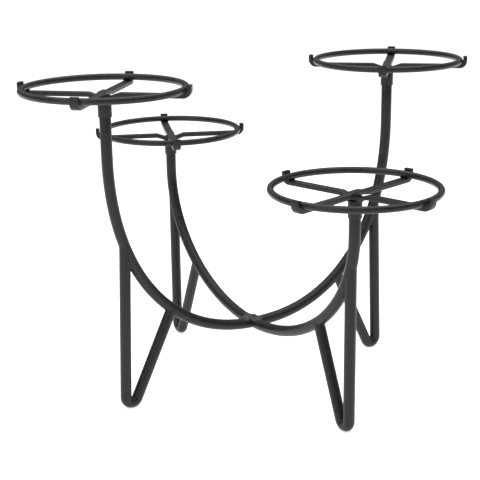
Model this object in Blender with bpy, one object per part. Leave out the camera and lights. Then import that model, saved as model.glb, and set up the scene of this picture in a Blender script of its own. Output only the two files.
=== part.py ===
"""Four-tier stand for bowls and plates.

Two crossed round-bar hoops stand on four hairpin legs. Each of the four arm ends carries a
lift-off ring: a socket tube that slips over the arm, two crossed straps on top of it, and a
rod ring held in the straps' upturned hooks.

Metres, +Z up. The tall hoop lies along X and the short hoop along Y. The origin is on the
surface that the stand rests on, midway between the ends of each hoop.
"""

import math

import bmesh
import bpy
from mathutils import Vector

# Round bar of the hoops and the legs, with its coat
BAR_DIAMETER = 0.0108
BAR_END_CHAMFER = 0.0008
GAP = 0.0003  # left between pieces that touch

# Hoops: a bend at the bottom, straight arms above it
TALL_REACH = 0.162  # from the middle of a hoop to the centre of its arm
SHORT_REACH = 0.1675
CROSSING_HEIGHT = 0.0595  # centre of the bar where the hoops cross
CROSSING_OFFSET = 0.0055  # the short hoop crosses this far to the left of the tall hoop's middle
TALL_STRAIGHT = 0.0585  # from the bend's end to the centre of the ring's rod
SHORT_STRAIGHT = 0.043
TALL_BEND_FULLNESS = 2.22  # 2 is a half ellipse, more is fuller at the corners
SHORT_BEND_FULLNESS = 2.0
TALL_RING_HEIGHT = 0.314  # centre of the ring's rod above the floor
SHORT_RING_HEIGHT = 0.233

# Hairpin legs: an outer limb, a tight bend for the foot and an inner limb leaning in
TALL_LEG_STATION = 0.153  # from the middle of the hoop to the outside of the foot's bend
SHORT_LEG_STATION = 0.163
TALL_OUTER_LEAN = math.radians(2)
SHORT_OUTER_LEAN = 0.0
TALL_INNER_LEAN = math.radians(26)
SHORT_INNER_LEAN = math.radians(23)
FOOT_CREASE_RADIUS = 0.001  # at the inside of the bend
FOOT_FLAT_DEPTH = 0.0004  # ground off the foot, so that it stands on a flat

# Ring carriers
RING_RADIUS = 0.074  # to the centre of the rod
RING_ROD_DIAMETER = 0.0063  # with its coat
STRAP_WIDTH = 0.008
STRAP_THICKNESS = 0.004
HOOK_RISE = 0.0015  # how far a hook stands above the ring
CROWN = 0.0015  # the upper strap springs up this far over the lower one
JOGGLE_MARGIN = 0.0025  # how far the flat at the crossing runs past the other strap
JOGGLE_RAMP = 0.008
SOCKET_DROP = 0.026  # from the centre of the ring's rod to the socket's lower end
SOCKET_WALL = 0.0007
SOCKET_CLEARANCE = 0.0003  # between the arm and the socket, on each side
SOCKET_LIP = 0.0004  # chamfer on the socket's outer edges

BAR_SIDES = 16
ROD_SIDES = 10
RING_STEPS = 48
BEND_STEPS = 40
FOOT_STEPS = 10
HOOK_STEPS = 6
SOCKET_STEPS = 28

# Sizes that follow from the driving ones
TALL_BEND_RISE = TALL_RING_HEIGHT - CROSSING_HEIGHT - TALL_STRAIGHT
SHORT_BEND_RISE = SHORT_RING_HEIGHT - CROSSING_HEIGHT - SHORT_STRAIGHT
BAR_RADIUS = BAR_DIAMETER / 2
FOOT_BEND_RADIUS = BAR_RADIUS + FOOT_CREASE_RADIUS  # at the centre of the bar
ROD_RADIUS = RING_ROD_DIAMETER / 2
CRADLE_RADIUS = ROD_RADIUS + GAP + STRAP_THICKNESS / 2  # centre of a strap around the rod
JOGGLE = STRAP_THICKNESS + GAP - CROWN  # the lower strap dips this far under the upper one
JOGGLE_FLAT = STRAP_WIDTH / 2 + JOGGLE_MARGIN
CROSS_UNDERSIDE = -CRADLE_RADIUS - JOGGLE - STRAP_THICKNESS / 2
ARM_TOP_DROP = GAP - CROSS_UNDERSIDE  # from the centre of the ring's rod to the arm's end

# name of the arm, its hoop, direction on the floor, and how far its cross is turned
ARMS = (
    ("tall_left", "tall", 180, 46.5),
    ("tall_right", "tall", 0, 48),
    ("short_front", "short", 270, 15),
    ("short_back", "short", 90, 66.5),
)
HOOPS = {
    "tall": {
        "middle": Vector((0, 0, 0)),
        "heading": 0,
        "reach": TALL_REACH,
        "rise": TALL_BEND_RISE,
        "fullness": TALL_BEND_FULLNESS,
        "ring_height": TALL_RING_HEIGHT,
        "station": TALL_LEG_STATION,
        "outer_lean": TALL_OUTER_LEAN,
        "inner_lean": TALL_INNER_LEAN,
    },
    "short": {
        "middle": Vector((-CROSSING_OFFSET, 0, 0)),
        "heading": 90,
        "reach": SHORT_REACH,
        "rise": SHORT_BEND_RISE,
        "fullness": SHORT_BEND_FULLNESS,
        "ring_height": SHORT_RING_HEIGHT,
        "station": SHORT_LEG_STATION,
        "outer_lean": SHORT_OUTER_LEAN,
        "inner_lean": SHORT_INNER_LEAN,
    },
}

SIDEWAYS = Vector((0, 1, 0))


def clear_scene():
    for thing in list(bpy.data.objects):
        bpy.data.objects.remove(thing, do_unlink=True)


def coat(name, grey, roughness):
    """Black powder coat, one for each kind of piece."""
    material = bpy.data.materials.new(name)
    material.use_nodes = True
    shader = material.node_tree.nodes["Principled BSDF"]
    shader.inputs["Base Color"].default_value = (grey, grey, grey * 1.04, 1)
    shader.inputs["Roughness"].default_value = roughness
    shader.inputs["Metallic"].default_value = 0.0
    return material


def add_object(name, bm, material=None):
    bmesh.ops.recalc_face_normals(bm, faces=bm.faces)
    mesh = bpy.data.meshes.new(name)
    bm.to_mesh(mesh)
    bm.free()
    mesh.shade_smooth()
    mesh.set_sharp_from_angle(angle=math.radians(40))
    thing = bpy.data.objects.new(name, mesh)
    bpy.context.scene.collection.objects.link(thing)
    if material:
        mesh.materials.append(material)
    return thing


def round_section(diameter, sides):
    """Corners of a round bar's section, as (outwards, sideways) offsets, with a flat outwards."""
    turns = [2 * math.pi * (k + 0.5) / sides for k in range(sides)]
    return [(diameter / 2 * math.cos(t), diameter / 2 * math.sin(t)) for t in turns]


def flat_section(thickness, width):
    return [(a * thickness / 2, b * width / 2) for a, b in ((-1, -1), (1, -1), (1, 1), (-1, 1))]


def sweep(path, section):
    """A closed bar along a path of (x, z, scale) points in the XZ plane."""
    bm = bmesh.new()
    loops = []
    last = len(path) - 1
    for i, (x, z, scale) in enumerate(path):
        before, after = path[max(i - 1, 0)], path[min(i + 1, last)]
        along = Vector((after[0] - before[0], 0, after[1] - before[1])).normalized()
        outwards = Vector((along.z, 0, -along.x))
        corners = [Vector((x, 0, z)) + scale * (a * outwards + b * SIDEWAYS) for a, b in section]
        loops.append([bm.verts.new(corner) for corner in corners])
    for near, far in zip(loops, loops[1:]):
        for k in range(len(section)):
            m = (k + 1) % len(section)
            bm.faces.new((near[k], near[m], far[m], far[k]))
    bm.faces.new(loops[0])
    bm.faces.new(loops[-1])
    return bm


def turned(profile, steps):
    """A closed profile of (radius, z) points turned about Z."""
    bm = bmesh.new()
    loops = []
    for step in range(steps):
        turn = 2 * math.pi * step / steps
        loops.append([bm.verts.new((r * math.cos(turn), r * math.sin(turn), z)) for r, z in profile])
    for near, far in zip(loops, loops[1:] + loops[:1]):
        for k in range(len(profile)):
            m = (k + 1) % len(profile)
            bm.faces.new((near[k], near[m], far[m], far[k]))
    return bm


def box_cutter(name, low, high):
    bm = bmesh.new()
    bmesh.ops.create_cube(bm, size=1)
    low, high = Vector(low), Vector(high)
    for vert in bm.verts:
        vert.co = (low + high) / 2 + vert.co * (high - low)
    cutter = add_object(name, bm)
    cutter.hide_render = True
    cutter.display_type = "WIRE"
    return cutter


def cut(thing, cutter):
    boolean = thing.modifiers.new("cut by " + cutter.name, "BOOLEAN")
    boolean.operation = "DIFFERENCE"
    boolean.solver = "EXACT"
    boolean.object = cutter


def arm_top(hoop):
    return hoop["ring_height"] - ARM_TOP_DROP


def bend_point(hoop, turn):
    """A point of the bend's centre line. A turn of 0 is the lowest point, 90 degrees its end."""
    power = 2 / hoop["fullness"]
    x = hoop["reach"] * math.sin(abs(turn)) ** power
    z = CROSSING_HEIGHT + hoop["rise"] * (1 - math.cos(turn) ** power)
    return math.copysign(x, turn), z


def hoop_height(hoop, x):
    """Height of the bar's centre at a distance x from the hoop's middle."""
    fullness = hoop["fullness"]
    share = (1 - (x / hoop["reach"]) ** fullness) ** (1 / fullness)
    return CROSSING_HEIGHT + hoop["rise"] * (1 - share)


def hoop_path(hoop, chamfer):
    """From one arm's end, round the bend, to the other arm's end."""
    reach, top = hoop["reach"], arm_top(hoop)
    end = CROSSING_HEIGHT + hoop["rise"]
    bend = []
    for step in range(1, BEND_STEPS):
        x, z = bend_point(hoop, math.pi * (step / BEND_STEPS - 0.5))
        bend.append((x, z, 1))
    small = 1 - chamfer / BAR_RADIUS
    left = [(-reach, top, small), (-reach, top - chamfer, 1), (-reach, end, 1)]
    right = [(-x, z, scale) for x, z, scale in reversed(left)]
    return left + bend + right


def make_hoop(name, hoop, material):
    path = hoop_path(hoop, BAR_END_CHAMFER)
    thing = add_object(name, sweep(path, round_section(BAR_DIAMETER, BAR_SIDES)), material)
    thing.location = hoop["middle"]
    thing.rotation_euler.z = math.radians(hoop["heading"])
    return thing


def hoop_envelope(name, hoop):
    """The room a hoop takes with its gap, which the legs' ends are coped to."""
    path = hoop_path(hoop, 0)
    path = [point for i, point in enumerate(path) if i not in (1, len(path) - 2)]
    envelope = add_object(name, sweep(path, round_section(BAR_DIAMETER + 2 * GAP, 24)))
    envelope.location = hoop["middle"]
    envelope.rotation_euler.z = math.radians(hoop["heading"])
    envelope.hide_render = True
    envelope.display_type = "WIRE"
    return envelope


def lap_hoops(tall, short):
    """Half-lap joint: the tall hoop loses its upper half, the short one its lower half."""
    reach = BAR_RADIUS + GAP
    x, z = -CROSSING_OFFSET, CROSSING_HEIGHT
    upper = box_cutter(
        "lap_in_tall_hoop",
        (x - reach, -BAR_DIAMETER, z - GAP / 2),
        (x + reach, BAR_DIAMETER, z + BAR_DIAMETER),
    )
    lower = box_cutter(
        "lap_in_short_hoop",
        (x - BAR_DIAMETER, -reach, z - BAR_DIAMETER),
        (x + BAR_DIAMETER, reach, z + GAP / 2),
    )
    cut(tall, upper)
    cut(short, lower)


def limb_end(hoop, x, z, lean):
    """Where a limb that leans in from (x, z) meets the centre of the hoop's bar."""
    short, long = 0, (CROSSING_HEIGHT + hoop["rise"] - z) / math.cos(lean)
    for _ in range(40):
        length = (short + long) / 2
        if z + length * math.cos(lean) > hoop_height(hoop, x - length * math.sin(lean)):
            long = length
        else:
            short = length
    return x - length * math.sin(lean), z + length * math.cos(lean), 1


def leg_path(hoop):
    base = BAR_RADIUS + FOOT_BEND_RADIUS - FOOT_FLAT_DEPTH
    outer, inner = hoop["outer_lean"], hoop["inner_lean"]
    path = []
    for step in range(FOOT_STEPS + 1):
        turn = (math.pi - inner + outer) * step / FOOT_STEPS - outer
        x = hoop["station"] - FOOT_BEND_RADIUS * (1 - math.cos(turn))
        path.append((x, base - FOOT_BEND_RADIUS * math.sin(turn), 1))
    outer_end = limb_end(hoop, path[0][0], path[0][1], outer)
    inner_end = limb_end(hoop, path[-1][0], path[-1][1], inner)
    return [outer_end] + path + [inner_end]


def make_leg(name, hoop, heading, envelope, floor, material):
    leg = add_object(name, sweep(leg_path(hoop), round_section(BAR_DIAMETER, BAR_SIDES)), material)
    leg.location = hoop["middle"]
    leg.rotation_euler.z = math.radians(heading)
    cut(leg, envelope)
    cut(leg, floor)
    return leg


def strap_path(joggle):
    """Centre of a strap, from one hook's tip to the other's, for a ring centred on z = 0."""
    level = -CRADLE_RADIUS
    half = [(JOGGLE_FLAT, level + joggle, 1), (JOGGLE_FLAT + JOGGLE_RAMP, level, 1)]
    for step in range(HOOK_STEPS + 1):
        turn = math.pi / 2 * step / HOOK_STEPS
        x = RING_RADIUS + CRADLE_RADIUS * math.sin(turn)
        half.append((x, -CRADLE_RADIUS * math.cos(turn), 1))
    half.append((RING_RADIUS + CRADLE_RADIUS, ROD_RADIUS + HOOK_RISE, 1))
    return [(-x, z, scale) for x, z, scale in reversed(half)] + half


def socket_profile():
    inner = BAR_RADIUS + SOCKET_CLEARANCE
    outer = inner + SOCKET_WALL
    top, bottom = CROSS_UNDERSIDE - GAP, -SOCKET_DROP
    return [
        (inner, bottom),
        (outer - SOCKET_LIP, bottom),
        (outer, bottom + SOCKET_LIP),
        (outer, top - SOCKET_LIP),
        (outer - SOCKET_LIP, top),
        (inner, top),
    ]


def add_ring(name, material):
    bpy.ops.mesh.primitive_torus_add(
        major_radius=RING_RADIUS,
        minor_radius=ROD_RADIUS,
        major_segments=RING_STEPS,
        minor_segments=ROD_SIDES,
    )
    ring = bpy.context.object
    ring.name = ring.data.name = name
    ring.data.shade_smooth()
    ring.data.materials.append(material)
    return ring


def make_carrier(arm, hoop, heading, cross_turn, coats):
    out = math.radians(heading)
    axis = bpy.data.objects.new(arm + "_axis", None)
    bpy.context.scene.collection.objects.link(axis)
    axis.location = hoop["middle"] + Vector(
        (hoop["reach"] * math.cos(out), hoop["reach"] * math.sin(out), hoop["ring_height"])
    )
    axis.rotation_euler.z = math.radians(cross_turn)
    ring = add_ring(arm + "_ring", coats["ring"])
    socket = add_object(arm + "_socket", turned(socket_profile(), SOCKET_STEPS), coats["socket"])
    section = flat_section(STRAP_THICKNESS, STRAP_WIDTH)
    upper = add_object(arm + "_upper_strap", sweep(strap_path(CROWN), section), coats["strap"])
    lower = add_object(arm + "_lower_strap", sweep(strap_path(-JOGGLE), section), coats["strap"])
    lower.rotation_euler.z = math.pi / 2
    for piece in (ring, socket, upper, lower):
        piece.parent = axis


def main():
    clear_scene()
    coats = {
        "frame": coat("frame coat", 0.045, 0.5),
        "leg": coat("leg coat", 0.045, 0.52),
        "ring": coat("ring coat", 0.05, 0.45),
        "strap": coat("strap coat", 0.045, 0.5),
        "socket": coat("socket coat", 0.04, 0.6),
    }
    bars, envelopes = {}, {}
    for name, hoop in HOOPS.items():
        bars[name] = make_hoop(name + "_hoop", hoop, coats["frame"])
        envelopes[name] = hoop_envelope(name + "_envelope", hoop)
    lap_hoops(bars["tall"], bars["short"])
    wide = 2 * (max(TALL_REACH, SHORT_REACH) + BAR_DIAMETER)
    floor = box_cutter("floor_cutter", (-wide, -wide, -BAR_DIAMETER), (wide, wide, 0))
    for arm, name, heading, cross_turn in ARMS:
        make_leg(arm + "_leg", HOOPS[name], heading, envelopes[name], floor, coats["leg"])
        make_carrier(arm, HOOPS[name], heading, cross_turn, coats)


main()
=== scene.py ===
"""Tabletop ring stand: the finished look of every piece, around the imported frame.

Metres, +Z up. The tall hoop lies along X and the short hoop along Y. Each ring holder is four
pieces on one arm: a rod ring, two crossed straps and a socket.
"""

import math

import bpy
from bpy.props import FloatProperty, FloatVectorProperty, PointerProperty
from mathutils import Matrix, Vector


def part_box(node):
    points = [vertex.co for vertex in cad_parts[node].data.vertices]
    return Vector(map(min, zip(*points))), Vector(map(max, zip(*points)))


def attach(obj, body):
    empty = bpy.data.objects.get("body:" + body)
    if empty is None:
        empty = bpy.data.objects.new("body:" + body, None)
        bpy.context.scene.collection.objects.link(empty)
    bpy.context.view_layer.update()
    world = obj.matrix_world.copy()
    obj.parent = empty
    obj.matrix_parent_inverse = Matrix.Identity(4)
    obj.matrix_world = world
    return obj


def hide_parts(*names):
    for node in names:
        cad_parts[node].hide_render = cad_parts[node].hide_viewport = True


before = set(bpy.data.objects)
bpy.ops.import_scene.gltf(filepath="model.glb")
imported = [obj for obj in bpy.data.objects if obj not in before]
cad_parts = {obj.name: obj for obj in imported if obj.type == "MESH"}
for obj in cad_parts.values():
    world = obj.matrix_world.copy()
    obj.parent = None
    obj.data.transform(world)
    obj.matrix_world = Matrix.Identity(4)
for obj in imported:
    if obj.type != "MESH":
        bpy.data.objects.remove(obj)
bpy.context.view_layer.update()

bl_info = {
    "name": "Ring Stand",
    "version": (1, 0, 0),
    "blender": (4, 5, 0),
    "location": "View3D > Sidebar > Ring Stand",
    "description": "Builds a powder-coated stand with four lift-off ring holders",
    "category": "Add Mesh",
}

# name of the arm, its hoop, its heading on the floor and the turn of its cross, in degrees
ARMS = (
    ("tall_left", "tall", 180, 46.5),
    ("tall_right", "tall", 0, 48),
    ("short_front", "short", 270, 15),
    ("short_back", "short", 90, 66.5),
)
HOOP_HEADINGS = {"tall": 0, "short": 90}

# How finely round shapes are made
BAR_SIDES = 28
ROD_SIDES = 18
BEND_STEPS = 72
FOOT_STEPS = 18
HOOK_STEPS = 8
RING_STEPS = 120
SOCKET_SIDES = 56
COPE_STEPS = 48
COLLAR_STEPS = 40
HOOK_TACK_STEPS = 8
CROSSING_TACK_STEPS = 7
SEAM_STEPS = 14
ROUNDING_SEGMENTS = 3
LIMB_HALVINGS = 40
COPE_HALVINGS = 24

# Small lengths, in metres
MERGE_DISTANCE = 0.00001
GROUND_CUT = 0.00001  # the legs' feet are cut flat at this height
ARM_END_MARGIN = 0.00005
ARM_END_ROUNDING = 0.0009
SOCKET_END_ROUNDING = 0.00045
HOLDER_BEAD = 0.0007
SEAM_BEAD = 0.0008
BEAD_LIFT = 0.0002
BUTT_WELD_HALF_WIDTH = 0.0012

# The pad that is pressed into the top of the short hoop
PAD_HALF_LENGTH = 0.009
PAD_RISE = 0.0003
PAD_DEPTH_SHARE = 0.35  # of the bar's diameter
PAD_WIDENING = 1.2

BUTT_WELD_SWELL = 1.06
BEAD_LEAST = 0.15  # a bead's share where two surfaces run on into each other
COPE_REACH = 6  # how far along a limb its cope is looked for, in bar radii
HOOK_TACK_ARC = 65  # degrees to each side
HOOK_TACK_LEAN = 0.5  # radians outward
SEAM_ARC = 80  # degrees to each side

SMOOTH_BAR = math.radians(35)
SMOOTH_FLAT = math.radians(40)
SMOOTH_ROUND = math.radians(60)
SHARP_EDGE = math.radians(50)

# name of the coat: its shade, what it adds to the roughness, its grain and its orange peel
COATS = {
    "hoop coat": (1.0, 0.0, 1.0, 0.32),
    "leg coat": (1.0, 0.02, 1.0, 0.35),
    "ring coat": (1.05, -0.04, 0.9, 0.22),
    "strap coat": (1.0, 0.0, 1.25, 0.35),
    "socket coat": (0.95, 0.06, 1.5, 0.45),
    "weld coat": (1.0, -0.02, 1.3, 0.5),
}
COAT_IOR = 1.36
BUMP_DISTANCE = 0.0005
NOISE_ROUGHNESS = 0.55
PEEL_SIZE = 0.0028
# size of the patches of scuffs and of the painted highlight on the crossing pad
MARK_SIZE = 0.021
WEAR_AND_HIGHLIGHT_SIZE = 0.0016
DARK_SHADE = 0.45
LIGHT_SHADE = 1.9
TONE_FINE, TONE_WIDE = 0.55, 0.45
RELIEF_FINE, RELIEF_WIDE = 0.35, 0.65
ROUGHNESS_SPREAD = 0.30
SPECK_SHARE, SMUDGE_SHARE = 0.07, 0.03
SMUDGE_ROUGHNESS = 0.06
# share of the scuffed colour in scuffs and in the painted highlight on the crossing pad
WEAR_AND_HIGHLIGHT_SHARE = 0.8
WEAR_POLISH = 0.12

# Where a noise or a height passes from none to full
TONE_RANGE = (0.3, 0.7)
SMUDGE_RANGE = (0.52, 0.72)
SPECK_RANGE = (0.58, 0.74)
WEAR_AND_HIGHLIGHT_RANGE = (0.40, 0.62)
FOOT_WEAR_RANGE = (0.0008, 0.0045)
# the painted highlight on the crossing pad fades out between these distances from its middle
PAD_HIGHLIGHT_RANGE = (0.0095, 0.0125)

ALONG_Y = Vector((0, 1, 0))


# ---- Sizes and finishes that a user would change ------------------------------------------


def length_property(name, description, default):
    return FloatProperty(
        name=name, description=description, default=default, min=0, unit="LENGTH", precision=4
    )


def colour_property(name, description, default):
    return FloatVectorProperty(
        name=name, description=description, default=default, subtype="COLOR", min=0, max=1
    )


def angle_property(name, description, degrees):
    return FloatProperty(
        name=name, description=description, default=math.radians(degrees), subtype="ANGLE"
    )


class StandSizes(bpy.types.PropertyGroup):
    bar: length_property("Bar", "Diameter of the round bar of hoops and legs", 0.0108)
    rod: length_property("Rod", "Diameter of a ring's rod", 0.0063)
    strap_width: length_property("Strap width", "Width of the flat straps", 0.008)
    strap_thickness: length_property("Strap thickness", "Thickness of the flat straps", 0.004)
    strap_edge: length_property("Strap edge", "Rounding of a strap's edges", 0.0005)
    crossing: length_property("Crossing", "Height of the bar's centre where hoops cross", 0.0595)
    tall_bend: length_property("Tall bend", "Height of the tall hoop's bend", 0.196)
    short_bend: length_property("Short bend", "Height of the short hoop's bend", 0.1305)
    tall_fullness: FloatProperty(
        name="Tall fullness", description="2 is a half ellipse, more is fuller", default=2.22
    )
    short_fullness: FloatProperty(
        name="Short fullness", description="2 is a half ellipse, more is fuller", default=2.0
    )
    tall_leg: length_property("Tall leg", "From the tall hoop's middle to a foot's outside", 0.153)
    short_leg: length_property(
        "Short leg", "From the short hoop's middle to a foot's outside", 0.163
    )
    foot_bend: length_property("Foot bend", "Radius of the foot's bend at the centre", 0.0064)
    foot_flat: length_property("Foot flat", "Depth ground off the foot", 0.0004)
    tall_outer: angle_property("Tall outer lean", "Lean of a tall leg's outer limb", 2)
    tall_inner: angle_property("Tall inner lean", "Lean of a tall leg's inner limb", 26)
    short_outer: angle_property("Short outer lean", "Lean of a short leg's outer limb", 0)
    short_inner: angle_property("Short inner lean", "Lean of a short leg's inner limb", 23)
    gap: length_property("Gap", "Left between a strap and the rod that it holds", 0.0003)
    hook_rise: length_property("Hook rise", "How far a hook stands above its ring", 0.0015)
    crown: length_property("Crown", "How far an upper strap springs up at the crossing", 0.0015)
    joggle_flat: length_property("Joggle flat", "Half the length of a strap's offset flat", 0.0065)
    joggle_ramp: length_property("Joggle ramp", "Length of the ramp beside the flat", 0.008)
    bead: length_property("Bead", "Radius of a weld bead", 0.0011)


class CoatFinish(bpy.types.PropertyGroup):
    black: colour_property("Black", "Colour of the coat", (0.010, 0.010, 0.0102))
    worn_and_highlight: colour_property("Worn", "Colour of the coat where it is rubbed", (0.090, 0.089, 0.087))
    # the scuffed colour, which is also the colour of the painted highlight on the crossing pad
    roughness: FloatProperty(
        name="Roughness", description="Roughness of the clean coat", default=0.36, min=0, max=1
    )
    grain: length_property("Grain", "Size of the coat's grain", 0.0006)


class StageLook(bpy.types.PropertyGroup):
    floor: colour_property("Floor", "Colour of the floor", (0.93, 0.93, 0.93))
    overhead: FloatProperty(
        name="Overhead", description="Power of the overhead light", default=26, unit="POWER"
    )
    side: FloatProperty(
        name="Side", description="Power of the side light", default=8, unit="POWER"
    )
    sky: FloatProperty(
        name="Sky", description="Brightness of the room overhead", default=0.5, min=0
    )


def sizes():
    return bpy.context.scene.stand_sizes


def finish_of_coat():
    return bpy.context.scene.stand_coat


# ---- Edit-mode modelling ------------------------------------------------------------------


def deselect():
    bpy.ops.object.select_all(action="DESELECT")


def edit(select="SELECT"):
    bpy.ops.object.mode_set(mode="EDIT")
    bpy.ops.mesh.select_mode(type="VERT")
    bpy.ops.mesh.select_all(action=select)


def close_edit():
    bpy.ops.object.mode_set(mode="OBJECT")


def turn_selection(angle, about):
    """Turns what is selected about Y. With no window the operator turns the other way."""
    bpy.ops.transform.rotate(value=angle, orient_axis="Y", center_override=about)


def select_where(test, kind="VERT"):
    """In object mode, selects the piece's points, edges or faces that pass a test."""
    mesh = bpy.context.object.data
    for group in (mesh.vertices, mesh.edges, mesh.polygons):
        group.foreach_set("select", [False] * len(group))
    kinds = {"VERT": mesh.vertices, "EDGE": mesh.edges, "FACE": mesh.polygons}
    for item in kinds[kind]:
        item.select = test(item)
    bpy.context.tool_settings.mesh_select_mode = [each == kind for each in kinds]
    bpy.ops.object.mode_set(mode="EDIT")


def tidy_mesh():
    """Merges doubles and turns every face outwards."""
    edit()
    bpy.ops.mesh.remove_doubles(threshold=MERGE_DISTANCE)
    bpy.ops.mesh.normals_make_consistent(inside=False)
    close_edit()


def round_edges(width):
    """Rounds the sharp edges of the active piece."""
    modifier = bpy.context.object.modifiers.new("Bevel", "BEVEL")
    modifier.width = width
    modifier.segments = ROUNDING_SEGMENTS
    modifier.limit_method = "ANGLE"
    modifier.angle_limit = SHARP_EDGE
    bpy.ops.object.modifier_apply(modifier=modifier.name)


def place(piece, heading, location):
    """Turns a piece that was modelled in the XZ plane to its heading and puts it in place."""
    piece.rotation_euler = (0, 0, heading)
    piece.location = location
    deselect()
    piece.select_set(True)
    bpy.context.view_layer.objects.active = piece
    bpy.ops.object.transform_apply(location=True, rotation=True, scale=True)


def smooth(angle):
    bpy.ops.object.shade_smooth_by_angle(angle=angle)


def finish_piece(piece, name, body, material, replaced=None):
    piece.name = name
    piece.data.name = name
    piece.data.materials.clear()
    piece.data.materials.append(material)
    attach(piece, body)
    if replaced:
        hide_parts(replaced)


def heading_of(step):
    """The turn about Y that takes +Z to the direction of a step in the XZ plane."""
    return math.atan2(step.x, step.z)


def extrude_along(path):
    """Extrudes the active object's face through a path in the XZ plane, square to it all along."""
    edit()
    facing = heading_of(path[1] - path[0])
    for i in range(1, len(path)):
        bpy.ops.mesh.extrude_region_move(
            TRANSFORM_OT_translate={"value": path[i] - path[i - 1]}
        )
        if i < len(path) - 1:
            next_facing = heading_of(path[i + 1] - path[i - 1])
        else:
            next_facing = heading_of(path[i] - path[i - 1])
        turn = (next_facing - facing + math.pi) % (2 * math.pi) - math.pi
        turn_selection(-turn, path[i])
        facing = next_facing
    close_edit()
    tidy_mesh()
    return bpy.context.object


def draw_bar(path, radius, sides):
    """A round bar along a path in the XZ plane."""
    deselect()
    bpy.ops.mesh.primitive_circle_add(
        vertices=sides,
        radius=radius,
        fill_type="NGON",
        location=path[0],
        rotation=(0, heading_of(path[1] - path[0]), 0),
    )
    bpy.ops.object.transform_apply(location=True, rotation=True, scale=True)
    return extrude_along(path)


def draw_strap(path, width, thickness):
    """A flat strap along a path in the XZ plane, its width along Y."""
    deselect()
    bpy.ops.mesh.primitive_plane_add(
        size=1, location=path[0], rotation=(0, heading_of(path[1] - path[0]), 0)
    )
    bpy.context.object.scale = (thickness, width, 1)
    bpy.ops.object.transform_apply(location=True, rotation=True, scale=True)
    return extrude_along(path)


# ---- Shader maths as expressions ----------------------------------------------------------


class Wire:
    """A node's output, which takes part in expressions."""

    def __init__(self, nodes, socket):
        self.nodes = nodes
        self.socket = socket

    def maths(self, operation, *values):
        return self.nodes.add("ShaderNodeMath", {"operation": operation}, *values)

    def __add__(self, other):
        return self.maths("ADD", self, other)

    def __radd__(self, other):
        return self.maths("ADD", other, self)

    def __sub__(self, other):
        return self.maths("SUBTRACT", self, other)

    def __rsub__(self, other):
        return self.maths("SUBTRACT", other, self)

    def __mul__(self, other):
        return self.maths("MULTIPLY", self, other)

    def __rmul__(self, other):
        return self.maths("MULTIPLY", other, self)

    def clamped(self):
        return self.nodes.add(
            "ShaderNodeMath", {"operation": "ADD", "use_clamp": True}, self, 0.0
        )

    def step(self, low, high):
        """0 below low, 1 above high and smooth between them."""
        return self.nodes.add(
            "ShaderNodeMapRange",
            {"interpolation_type": "SMOOTHSTEP"},
            {"Value": self, "From Min": low, "From Max": high},
        )


class Nodes:
    """A material's nodes, made by one method."""

    def __init__(self, name):
        self.material = bpy.data.materials.new(name)
        self.material.use_nodes = True
        self.tree = self.material.node_tree
        self.shader = self.tree.nodes["Principled BSDF"]

    def put(self, socket, value):
        if isinstance(value, Wire):
            self.tree.links.new(value.socket, socket)
        else:
            socket.default_value = value

    def add(self, kind, settings, *values, output=0):
        """Settings come first, then the sockets' values, by place or in a dict by name."""
        node = self.tree.nodes.new(kind)
        for name, value in settings.items():
            setattr(node, name, value)
        for place_, value in enumerate(values):
            if isinstance(value, dict):
                for name, inner in value.items():
                    self.put(node.inputs[name], inner)
            else:
                self.put(node.inputs[place_], value)
        return Wire(self, node.outputs[output])

    def set(self, **values):
        for name, value in values.items():
            self.put(self.shader.inputs[name.replace("_", " ")], value)


def noise(nodes, where, size, detail):
    """Noise from 0 to 1 whose features are about this size, in metres."""
    return nodes.add(
        "ShaderNodeTexNoise",
        {"noise_dimensions": "3D"},
        {
            "Vector": where,
            "Scale": 1 / size,
            "Detail": detail,
            "Roughness": NOISE_ROUGHNESS,
        },
    )


def blend_colours(nodes, share, first, second):
    mix = nodes.tree.nodes.new("ShaderNodeMix")
    mix.data_type = "RGBA"
    nodes.put(mix.inputs["Factor"], share)
    for socket, value in ((mix.inputs[6], first), (mix.inputs[7], second)):
        nodes.put(socket, value if isinstance(value, Wire) else (*value, 1))
    return Wire(nodes, mix.outputs[2])


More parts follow.
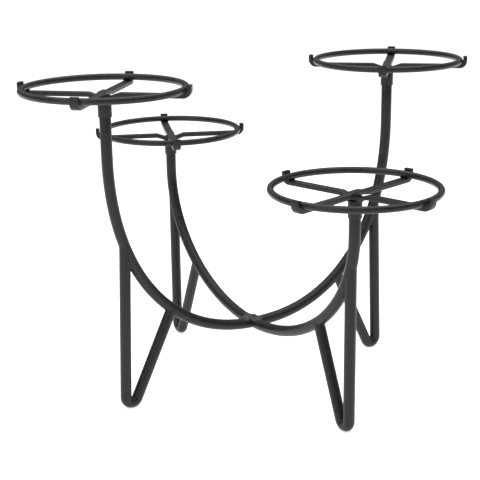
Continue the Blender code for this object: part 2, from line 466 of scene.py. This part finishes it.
def powder_coat(name, shade, roughness, grain, peel, rubbed_and_highlit=None):
    """Satin powder coat: fine grain, orange peel, handling marks and scuffed places; on the hoop
    coat the scuffed place is a painted highlight on the crossing pad.

    The last argument takes the nodes and the position and gives, at each place, the share of
    scuffing and of painted highlight, both in the scuffed colour.
    """
    coat = finish_of_coat()
    nodes = Nodes(name)
    where = nodes.add("ShaderNodeTexCoord", {}, output="Object")
    fine = noise(nodes, where, coat.grain * grain, 3.0)
    wide = noise(nodes, where, PEEL_SIZE, 2.0)
    marks = noise(nodes, where, MARK_SIZE, 4.0)
    smudge = marks.step(*SMUDGE_RANGE)
    specks = fine.step(*SPECK_RANGE)
    dark = tuple(channel * shade * DARK_SHADE for channel in coat.black)
    light = tuple(channel * shade * LIGHT_SHADE for channel in coat.black)
    tone = (TONE_FINE * fine + TONE_WIDE * wide).step(*TONE_RANGE)
    colour = blend_colours(nodes, tone, dark, light)
    flecks = SPECK_SHARE * specks + SMUDGE_SHARE * smudge
    colour = blend_colours(nodes, flecks, colour, coat.worn_and_highlight)
    spread = ROUGHNESS_SPREAD
    rough = roughness + spread * (fine - 0.5) + spread * (wide - 0.5) + SMUDGE_ROUGHNESS * smudge
    # scuffs, and on the hoop coat a painted highlight on the crossing pad, in the scuffed colour
    if rubbed_and_highlit:
        patches = noise(nodes, where, WEAR_AND_HIGHLIGHT_SIZE, 4.0).step(*WEAR_AND_HIGHLIGHT_RANGE)
        wear_and_highlight = (rubbed_and_highlit(nodes, where) * patches).clamped()
        colour = blend_colours(nodes, WEAR_AND_HIGHLIGHT_SHARE * wear_and_highlight, colour, coat.worn_and_highlight)
        rough = rough - WEAR_POLISH * wear_and_highlight
    relief = fine * RELIEF_FINE + wide * RELIEF_WIDE
    bump = nodes.add(
        "ShaderNodeBump", {}, {"Strength": peel, "Distance": BUMP_DISTANCE, "Height": relief}
    )
    nodes.set(Base_Color=colour, Roughness=rough.clamped(), Normal=bump)
    nodes.set(Metallic=0.0, IOR=COAT_IOR)
    return nodes.material


def height_of(nodes, where):
    return nodes.add("ShaderNodeSeparateXYZ", {}, where, output="Z")


def worn_feet(nodes, where):
    """The lowest millimetres of a foot, which slide on the table."""
    return 1 - height_of(nodes, where).step(*FOOT_WEAR_RANGE)


def painted_pad_highlight(nodes, where):
    """Painted highlight: the top of the pressed pad on the hoops' crossing, which stands out, is
    painted in the light scuffed colour.
    """
    s = sizes()
    top = s.crossing + s.bar / 2
    middle = (hoop_middle("short").x, hoop_middle("tall").y, top)
    distance = nodes.add(
        "ShaderNodeVectorMath", {"operation": "DISTANCE"}, where, middle, output="Value"
    )
    near = 1 - distance.step(*PAD_HIGHLIGHT_RANGE)
    # painted highlight: lighter only on the bar's top, where the light falls
    return 1.6 * near * height_of(nodes, where).step(top - 0.0012, top - 0.0001)


def worn_ring_top(nodes, where):
    """The top line of each ring, where bowls are set down."""
    height = height_of(nodes, where)
    radius = sizes().rod / 2
    tops = [
        height.step(level + 0.55 * radius, level + radius)
        * (1 - height.step(level + 1.3 * radius, level + 1.6 * radius))
        for level in sorted({ring_centre(arm).z for arm, *_ in ARMS})
    ]
    return (tops[0] + tops[1]) * 0.3


# coats with scuffed places; the hoop coat's is a painted highlight on the crossing pad
SCUFFED_AND_HIGHLIT_PLACES = {"hoop coat": painted_pad_highlight, "leg coat": worn_feet, "ring coat": worn_ring_top}


def plain_coat(name):
    """The material of this name, made once with its own shade and grain."""
    if name in bpy.data.materials:
        return bpy.data.materials[name]
    shade, rougher, grain, peel = COATS[name]
    roughness = finish_of_coat().roughness + rougher
    return powder_coat(name, shade, roughness, grain, peel, SCUFFED_AND_HIGHLIT_PLACES.get(name))


# ---- Places read from the frame -----------------------------------------------------------


def middle_of(node):
    low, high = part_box(node)
    return (low + high) / 2


def ring_centre(arm):
    """On the arm's axis, at the height of the ring's rod."""
    axis = middle_of(arm + "_socket")
    return Vector((axis.x, axis.y, middle_of(arm + "_ring").z))


def hoop_middle(hoop):
    """On the floor, midway between the hoop's two arms."""
    ends = [ring_centre(arm) for arm, of_hoop, *_ in ARMS if of_hoop == hoop]
    middle = sum(ends, Vector()) / 2
    return Vector((middle.x, middle.y, 0))


def hoop_reach(hoop):
    """From the hoop's middle to an arm's axis."""
    ends = [ring_centre(arm) for arm, of_hoop, *_ in ARMS if of_hoop == hoop]
    return (ends[0] - ends[1]).length / 2


def arm_top(hoop):
    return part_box(hoop + "_hoop")[1].z


def of_hoop(hoop, what):
    """A size that each hoop has its own value of."""
    return getattr(sizes(), hoop + "_" + what)


def body_name(arm, part):
    """The body that a holder's part rides on: its socket lifts, and the rest turns as well."""
    return arm + {"socket": "_lift"}.get(part, "_holder")


# ---- Hoops --------------------------------------------------------------------------------


def hoop_path(hoop):
    """Down one arm, round the bend and up the other arm."""
    reach, rise, low = hoop_reach(hoop), of_hoop(hoop, "bend"), sizes().crossing
    power = 2 / of_hoop(hoop, "fullness")
    bend = []
    for step in range(1, BEND_STEPS):
        turn = math.pi * (step / BEND_STEPS - 0.5)
        out = math.copysign(reach * abs(math.sin(turn)) ** power, turn)
        bend.append(Vector((out, 0, low + rise * (1 - math.cos(turn) ** power))))
    right = [Vector((reach, 0, low + rise)), Vector((reach, 0, arm_top(hoop)))]
    left = [Vector((-point.x, 0, point.z)) for point in reversed(right)]
    return left + bend + right


def round_arm_ends(top):
    """Rounds the edge of both arms' cut ends."""
    mesh = bpy.context.object.data
    select_where(
        lambda edge: all(mesh.vertices[v].co.z > top - ARM_END_MARGIN for v in edge.vertices),
        "EDGE",
    )
    bpy.ops.mesh.bevel(offset=ARM_END_ROUNDING, segments=ROUNDING_SEGMENTS, affect="EDGES")
    close_edit()


def flatten_crossing(half_length, above, level):
    """Presses the bar's top into a flat pad where the other hoop crosses it."""
    select_where(lambda vert: abs(vert.co.x) < half_length and vert.co.z > above)
    bpy.ops.transform.resize(value=(1, PAD_WIDENING, 0), center_override=(0, 0, level))
    close_edit()


class STAND_OT_hoops(bpy.types.Operator):
    """Bends the tall and the short hoop from round bar"""

    bl_idname = "stand.hoops"
    bl_label = "Hoops"

    def execute(self, context):
        s = sizes()
        for hoop, heading in HOOP_HEADINGS.items():
            piece = draw_bar(hoop_path(hoop), s.bar / 2, BAR_SIDES)
            round_arm_ends(arm_top(hoop))
            if hoop == "short":
                top = s.crossing + s.bar / 2
                flatten_crossing(PAD_HALF_LENGTH, top - PAD_DEPTH_SHARE * s.bar, top + PAD_RISE)
            smooth(SMOOTH_BAR)
            place(piece, math.radians(heading), hoop_middle(hoop))
            name = hoop + "_hoop_bar"
            finish_piece(piece, name, "frame", plain_coat("hoop coat"), hoop + "_hoop")
        return {"FINISHED"}


# ---- Legs ---------------------------------------------------------------------------------


def height_on_hoop(hoop, out):
    """Height of the hoop's centre line at a distance out from its middle."""
    fullness = of_hoop(hoop, "fullness")
    share = (1 - (out / hoop_reach(hoop)) ** fullness) ** (1 / fullness)
    return sizes().crossing + of_hoop(hoop, "bend") * (1 - share)


def limb_end(hoop, start, lean):
    """Where a limb that leans in from a point meets the hoop's centre line."""
    along = Vector((-math.sin(lean), 0, math.cos(lean)))
    near, far = 0.0, (sizes().crossing + of_hoop(hoop, "bend") - start.z) / along.z
    for _ in range(LIMB_HALVINGS):  # halves the stretch in which they meet
        half = (near + far) / 2
        point = start + along * half
        near, far = (half, far) if point.z < height_on_hoop(hoop, point.x) else (near, half)
    return start + along * near


def leg_path(hoop):
    """Down the outer limb, round the foot and up the inner limb, hoop centre to hoop centre."""
    s = sizes()
    station, bend = of_hoop(hoop, "leg"), s.foot_bend
    outer, inner = of_hoop(hoop, "outer"), of_hoop(hoop, "inner")
    base = s.bar / 2 + bend - s.foot_flat
    foot = []
    for step in range(FOOT_STEPS + 1):
        turn = (math.pi - inner + outer) * step / FOOT_STEPS - outer
        out = station - bend * (1 - math.cos(turn))
        foot.append(Vector((out, 0, base - bend * math.sin(turn))))
    return [limb_end(hoop, foot[0], outer), *foot, limb_end(hoop, foot[-1], inner)]


def offset_from_hoop(point, line):
    """From the nearest point of the hoop's centre line, given as points, to a point."""
    offsets = []
    for start, end in zip(line, line[1:]):
        run = end - start
        share = min(1, max(0, (point - start).dot(run) / run.length_squared))
        offsets.append(point - start - run * share)
    return min(offsets, key=lambda offset: offset.length)


def cope_line(end, along, hoop_line, radius):
    """Where the surface of a limb that ends in the hoop's centre meets the hoop's surface.

    Each point comes with the bead's share there: full in the sharp corner, none where the two
    surfaces run on into each other.
    """
    out = along.cross(ALONG_Y).normalized()
    line = []
    for step in range(COPE_STEPS):
        turn = 2 * math.pi * step / COPE_STEPS
        facing = math.cos(turn) * out + math.sin(turn) * ALONG_Y
        edge = end + radius * facing
        near, far = 0.0, COPE_REACH * radius
        for _ in range(COPE_HALVINGS):  # halves the stretch in which the surfaces meet
            half = (near + far) / 2
            inside = offset_from_hoop(edge - along * half, hoop_line).length < radius
            near, far = (half, far) if inside else (near, half)
        point = edge - along * near
        corner = 1 - facing.dot(offset_from_hoop(point, hoop_line).normalized())
        line.append((point, min(1, BEAD_LEAST + (1 - BEAD_LEAST) * corner)))
    return line


def weld_beads(lines, radius, closed=True):
    """Beads along lines of points and shares, with the small waves that a weld cools in."""
    deselect()
    curve = bpy.data.curves.new("bead", "CURVE")
    curve.dimensions = "3D"
    curve.bevel_depth = 1.0
    curve.bevel_resolution = 3
    curve.use_fill_caps = True
    for line in lines:
        spline = curve.splines.new("POLY")
        spline.points.add(len(line) - 1)
        spline.use_cyclic_u = closed
        for i, (point, share) in enumerate(line):
            taper = 1 if closed else math.sin(math.pi * (i + 0.6) / (len(line) + 0.2)) ** 0.5
            wave = 1 + 0.10 * math.sin(2.1 * i) + 0.05 * math.sin(0.9 * i + 1)
            spline.points[i].co = (*point, 1)
            spline.points[i].radius = radius * share * taper * wave
    bead = bpy.data.objects.new("bead", curve)
    bpy.context.scene.collection.objects.link(bead)
    bead.select_set(True)
    bpy.context.view_layer.objects.active = bead
    bpy.ops.object.convert(target="MESH")
    tidy_mesh()
    smooth(SMOOTH_ROUND)
    return bpy.context.object


class STAND_OT_legs(bpy.types.Operator):
    """Bends the hairpin legs and welds them under their hoops"""

    bl_idname = "stand.legs"
    bl_label = "Legs"

    def execute(self, context):
        s = sizes()
        for arm, hoop, heading, _ in ARMS:
            path = leg_path(hoop)
            piece = draw_bar(path, s.bar / 2, BAR_SIDES)
            edit()
            bpy.ops.mesh.bisect(
                plane_co=(0, 0, GROUND_CUT), plane_no=(0, 0, 1), clear_inner=True, use_fill=True
            )
            close_edit()
            smooth(SMOOTH_BAR)
            place(piece, math.radians(heading), hoop_middle(hoop))
            name = arm + "_leg_bar"
            finish_piece(piece, name, "frame", plain_coat("leg coat"), arm + "_leg")
            line = hoop_path(hoop)
            ends = ((path[0], path[1]), (path[-1], path[-2]))
            lines = [
                cope_line(end, (end - below).normalized(), line, s.bar / 2) for end, below in ends
            ]
            bead = weld_beads(lines, s.bead)
            place(bead, math.radians(heading), hoop_middle(hoop))
            finish_piece(bead, arm + "_leg_weld", "frame", plain_coat("weld coat"))
        return {"FINISHED"}


# ---- Ring holders -------------------------------------------------------------------------


def strap_path(joggle):
    """Centre of a strap from one hook's tip to the other's, for a ring centred on the origin."""
    s = sizes()
    cradle = s.rod / 2 + s.gap + s.strap_thickness / 2
    ring_radius = ring_size()
    half = [
        Vector((s.joggle_flat, 0, joggle - cradle)),
        Vector((s.joggle_flat + s.joggle_ramp, 0, -cradle)),
    ]
    for step in range(HOOK_STEPS + 1):
        turn = math.pi / 2 * step / HOOK_STEPS
        out = ring_radius + cradle * math.sin(turn)
        half.append(Vector((out, 0, -cradle * math.cos(turn))))
    half.append(Vector((ring_radius + cradle, 0, s.rod / 2 + s.hook_rise)))
    return [Vector((-point.x, 0, point.z)) for point in reversed(half)] + half


def ring_size():
    """Radius of the rings at the rod's centre, from the first ring's box."""
    s = sizes()
    low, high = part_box(ARMS[0][0] + "_ring")
    return (high.y - low.y) / 2 - s.rod / 2


class STAND_OT_rings(bpy.types.Operator):
    """Rolls a rod ring for each arm"""

    bl_idname = "stand.rings"
    bl_label = "Rings"

    def execute(self, context):
        s = sizes()
        radius = ring_size()
        for arm, _, _, turn in ARMS:
            deselect()
            bpy.ops.mesh.primitive_circle_add(
                vertices=ROD_SIDES,
                radius=s.rod / 2,
                fill_type="NOTHING",
                location=(radius, 0, 0),
                rotation=(math.pi / 2, 0, 0),
            )
            bpy.ops.object.transform_apply(location=True, rotation=True, scale=True)
            edit()
            bpy.ops.mesh.spin(
                steps=RING_STEPS, angle=2 * math.pi, center=(0, 0, 0), axis=(0, 0, 1)
            )
            close_edit()
            tidy_mesh()
            self.raise_butt_weld(radius)
            smooth(SMOOTH_ROUND)
            piece = bpy.context.object
            place(piece, math.radians(turn), ring_centre(arm))
            name, body = arm + "_rod_ring", body_name(arm, "ring")
            finish_piece(piece, name, body, plain_coat("ring coat"), arm + "_ring")
        return {"FINISHED"}

    def raise_butt_weld(self, radius):
        """Where the rod's ends are joined, under a hook, it is a little thicker."""
        select_where(lambda vert: vert.co.x > 0 and abs(vert.co.y) < BUTT_WELD_HALF_WIDTH)
        swell = (BUTT_WELD_SWELL, 1, BUTT_WELD_SWELL)
        bpy.ops.transform.resize(value=swell, center_override=(radius, 0, 0))
        close_edit()


class STAND_OT_straps(bpy.types.Operator):
    """Bends the crossed straps whose hooks hold a ring"""

    bl_idname = "stand.straps"
    bl_label = "Straps"

    def execute(self, context):
        s = sizes()
        dip = s.strap_thickness + s.gap - s.crown
        for arm, _, _, turn in ARMS:
            for level, joggle, quarter in (("upper", s.crown, 0), ("lower", -dip, 90)):
                piece = draw_strap(strap_path(joggle), s.strap_width, s.strap_thickness)
                round_edges(s.strap_edge)
                smooth(SMOOTH_FLAT)
                place(piece, math.radians(turn + quarter), ring_centre(arm))
                node = arm + "_" + level + "_strap"
                finish_piece(
                    piece,
                    node + "_bar",
                    body_name(arm, "strap"),
                    plain_coat("strap coat"),
                    node,
                )
        return {"FINISHED"}


class STAND_OT_sockets(bpy.types.Operator):
    """Cuts the socket tubes that slip over the arms"""

    bl_idname = "stand.sockets"
    bl_label = "Sockets"

    def execute(self, context):
        s = sizes()
        bore = s.bar / 2 + 2 * s.gap
        for arm, *_ in ARMS:
            low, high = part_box(arm + "_socket")
            centre, outer = (low + high) / 2, (high.y - low.y) / 2
            deselect()
            bpy.ops.mesh.primitive_cylinder_add(
                vertices=SOCKET_SIDES, radius=outer, depth=high.z - low.z, location=(0, 0, 0)
            )
            piece = bpy.context.object
            select_where(lambda face: abs(face.normal.z) > 0.9, "FACE")
            bpy.ops.mesh.inset(thickness=outer - bore)
            bpy.ops.mesh.bridge_edge_loops()
            close_edit()
            tidy_mesh()
            round_edges(SOCKET_END_ROUNDING)
            smooth(SMOOTH_FLAT)
            place(piece, 0, centre)
            name, body = arm + "_socket_tube", body_name(arm, "socket")
            finish_piece(
                piece, name, body, plain_coat("socket coat"), arm + "_socket"
            )
        return {"FINISHED"}


class STAND_OT_welds(bpy.types.Operator):
    """Lays the weld beads of the ring holders and of the hoops' crossing"""

    bl_idname = "stand.welds"
    bl_label = "Welds"

    def execute(self, context):
        s = sizes()
        for arm, _, _, turn in ARMS:
            lines = self.hook_tacks() + self.crossing_tacks()
            bead = weld_beads(lines, HOLDER_BEAD, closed=False)
            place(bead, math.radians(turn), ring_centre(arm))
            body = body_name(arm, "strap")
            finish_piece(bead, arm + "_holder_weld", body, plain_coat("weld coat"))
            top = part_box(arm + "_socket")[1]
            collar = weld_beads([self.collar_line(top.z, arm)], HOLDER_BEAD)
            finish_piece(collar, arm + "_socket_weld", body, plain_coat("weld coat"))
        seam = weld_beads(self.hoop_seams(), SEAM_BEAD, closed=False)
        place(seam, 0, hoop_middle("short"))
        finish_piece(seam, "crossing_weld", "frame", plain_coat("weld coat"))
        return {"FINISHED"}

    def hook_tacks(self):
        """Beside each hook, where the strap's edge meets the underside of the rod."""
        s = sizes()
        radius = ring_size()
        beside = s.strap_width / 2
        lines = []
        for quarter in range(4):
            spin = Matrix.Rotation(quarter * math.pi / 2, 3, "Z")
            for side in (-1, 1):
                line = []
                for step in range(HOOK_TACK_STEPS + 1):
                    turn = math.radians(-HOOK_TACK_ARC + 2 * HOOK_TACK_ARC * step / HOOK_TACK_STEPS)
                    turn += HOOK_TACK_LEAN
                    reach = s.rod / 2 + BEAD_LIFT
                    out = radius + reach * math.sin(turn)
                    point = Vector((out, side * beside, -reach * math.cos(turn)))
                    line.append((spin @ point, 1))
                lines.append(line)
        return lines

    def crossing_tacks(self):
        """Along the upper strap's edges, where it lies across the lower one."""
        s = sizes()
        level = s.crown - (s.rod / 2 + 1.5 * s.gap + s.strap_thickness)
        lines = []
        for side in (-1, 1):
            for start in (-1, 1):
                line = []
                for step in range(CROSSING_TACK_STEPS + 1):
                    out = start * s.strap_width / 2 * (0.15 + 0.8 * step / CROSSING_TACK_STEPS)
                    line.append((Vector((out, side * (s.strap_width / 2 + 0.0001), level)), 1))
                lines.append(line)
        return lines

    def collar_line(self, level, arm):
        """Round the socket's top, against the lower strap."""
        axis = ring_centre(arm)
        low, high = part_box(arm + "_socket")
        radius = (high.y - low.y) / 2
        line = []
        for step in range(COLLAR_STEPS):
            turn = 2 * math.pi * step / COLLAR_STEPS
            out = Vector((radius * math.cos(turn), radius * math.sin(turn), 0))
            line.append((Vector((axis.x, axis.y, level - BEAD_LIFT)) + out, 1))
        return line

    def hoop_seams(self):
        """On both sides of the short hoop, where it lies across the tall one."""
        s = sizes()
        radius = s.bar / 2
        lines = []
        for side in (-1, 1):
            line = []
            for step in range(SEAM_STEPS + 1):
                turn = math.radians(-SEAM_ARC + 2 * SEAM_ARC * step / SEAM_STEPS)
                across = radius * math.sin(turn)
                level = s.crossing + radius * math.cos(turn)
                out = math.sqrt(max(radius**2 - (level - s.crossing) ** 2, 0)) + BEAD_LIFT
                line.append((Vector((side * out, across, level)), 1))
            lines.append(line)
        return lines


# ---- Stage --------------------------------------------------------------------------------


def add_area_light(name, location, target, power, size):
    light = bpy.data.lights.new(name, "AREA")
    light.shape = "RECTANGLE"
    light.size, light.size_y = size
    light.energy = power
    lamp = bpy.data.objects.new(name, light)
    lamp.location = location
    lamp.rotation_euler = (Vector(target) - Vector(location)).to_track_quat("-Z", "Y").to_euler()
    bpy.context.scene.collection.objects.link(lamp)


# heights in the room, 1 straight overhead, and how bright the room is there
ROOM_STOPS = ((0.0, 0.04), (0.12, 0.05), (0.22, 0.60), (0.5, 1.0))


def paint_room(sky):
    """A room that is dim at the horizon and bright overhead."""
    world = bpy.data.worlds.new("room")
    world.use_nodes = True
    bpy.context.scene.world = world
    tree = world.node_tree
    where = tree.nodes.new("ShaderNodeTexCoord")
    split = tree.nodes.new("ShaderNodeSeparateXYZ")
    ramp = tree.nodes.new("ShaderNodeValToRGB")
    tree.links.new(where.outputs["Generated"], split.inputs[0])
    tree.links.new(split.outputs["Z"], ramp.inputs["Fac"])
    ramp.color_ramp.elements[0].position = ROOM_STOPS[0][0]
    ramp.color_ramp.elements[1].position = ROOM_STOPS[-1][0]
    for position, _ in ROOM_STOPS[1:-1]:
        ramp.color_ramp.elements.new(position)
    for element, (_, grey) in zip(ramp.color_ramp.elements, ROOM_STOPS):
        element.color = (grey, grey, grey, 1)
    background = tree.nodes["Background"]
    tree.links.new(ramp.outputs["Color"], background.inputs["Color"])
    background.inputs["Strength"].default_value = sky


class STAND_OT_stage(bpy.types.Operator):
    """Sets the pale floor, the soft lights and the camera"""

    bl_idname = "stand.stage"
    bl_label = "Stage"

    CAMERA_FROM = Vector((-0.6099, -0.9552, 0.4723))
    CAMERA_TO = Vector((-0.0168, 0.0058, 0.1473))
    CAMERA_ROLL = math.radians(-0.75)
    CAMERA_LENS = 87.8
    LIT_POINT = (0, 0, 0.15)
    OVERHEAD_PLACE, OVERHEAD_SIZE = (0.0, 0.1, 1.7), (2.2, 2.2)
    SIDE_PLACE, SIDE_SIZE = (-1.6, -0.6, 1.0), (1.2, 1.2)
    FLOOR_SIZE = 40
    FLOOR_GLOW = 0.63

    def execute(self, context):
        look = context.scene.stand_stage
        context.scene.view_settings.view_transform = "Standard"
        self.add_floor(look.floor)
        paint_room(look.sky)
        add_area_light(
            "overhead", self.OVERHEAD_PLACE, self.LIT_POINT, look.overhead, self.OVERHEAD_SIZE
        )
        add_area_light("side", self.SIDE_PLACE, self.LIT_POINT, look.side, self.SIDE_SIZE)
        self.add_camera()
        return {"FINISHED"}

    def add_floor(self, colour):
        deselect()
        bpy.ops.mesh.primitive_plane_add(size=self.FLOOR_SIZE, location=(0, 0, 0))
        floor = bpy.context.object
        floor.name = "floor"
        nodes = Nodes("pale floor")
        nodes.set(Base_Color=(*colour, 1), Roughness=0.9, Emission_Color=(1, 1, 1, 1))
        nodes.set(Emission_Strength=self.FLOOR_GLOW, Specular_IOR_Level=0.2)
        floor.data.materials.append(nodes.material)

    def add_camera(self):
        camera = bpy.data.cameras.new("camera")
        camera.lens = self.CAMERA_LENS
        camera.sensor_width = 36
        camera.clip_start = 0.01
        camera.clip_end = 100
        eye = bpy.data.objects.new("camera", camera)
        look = (self.CAMERA_TO - self.CAMERA_FROM).to_track_quat("-Z", "Y").to_matrix().to_4x4()
        eye.matrix_world = (
            Matrix.Translation(self.CAMERA_FROM)
            @ look
            @ Matrix.Rotation(self.CAMERA_ROLL, 4, "Z")
        )
        bpy.context.scene.collection.objects.link(eye)
        bpy.context.scene.camera = eye


# ---- Add-on -------------------------------------------------------------------------------


PIECES = (
    STAND_OT_hoops,
    STAND_OT_legs,
    STAND_OT_rings,
    STAND_OT_straps,
    STAND_OT_sockets,
    STAND_OT_welds,
    STAND_OT_stage,
)


class STAND_PT_panel(bpy.types.Panel):
    """Lists the stand's pieces in the sidebar"""

    bl_label = "Ring Stand"
    bl_idname = "STAND_PT_panel"
    bl_space_type = "VIEW_3D"
    bl_region_type = "UI"
    bl_category = "Ring Stand"

    def draw(self, context):
        scene = context.scene
        for group in (scene.stand_sizes, scene.stand_coat, scene.stand_stage):
            for name in group.bl_rna.properties.keys():
                if name not in ("rna_type", "name"):
                    self.layout.prop(group, name)
        for piece in PIECES:
            self.layout.operator(piece.bl_idname)


CLASSES = (StandSizes, CoatFinish, StageLook, *PIECES, STAND_PT_panel)


def register():
    for each in CLASSES:
        bpy.utils.register_class(each)
    bpy.types.Scene.stand_sizes = PointerProperty(type=StandSizes)
    bpy.types.Scene.stand_coat = PointerProperty(type=CoatFinish)
    bpy.types.Scene.stand_stage = PointerProperty(type=StageLook)


def unregister():
    del bpy.types.Scene.stand_stage
    del bpy.types.Scene.stand_coat
    del bpy.types.Scene.stand_sizes
    for each in reversed(CLASSES):
        bpy.utils.unregister_class(each)


def main():
    register()
    bpy.ops.stand.stage()
    bpy.ops.stand.hoops()
    bpy.ops.stand.legs()
    bpy.ops.stand.rings()
    bpy.ops.stand.straps()
    bpy.ops.stand.sockets()
    bpy.ops.stand.welds()


if __name__ == "__main__":
    main()
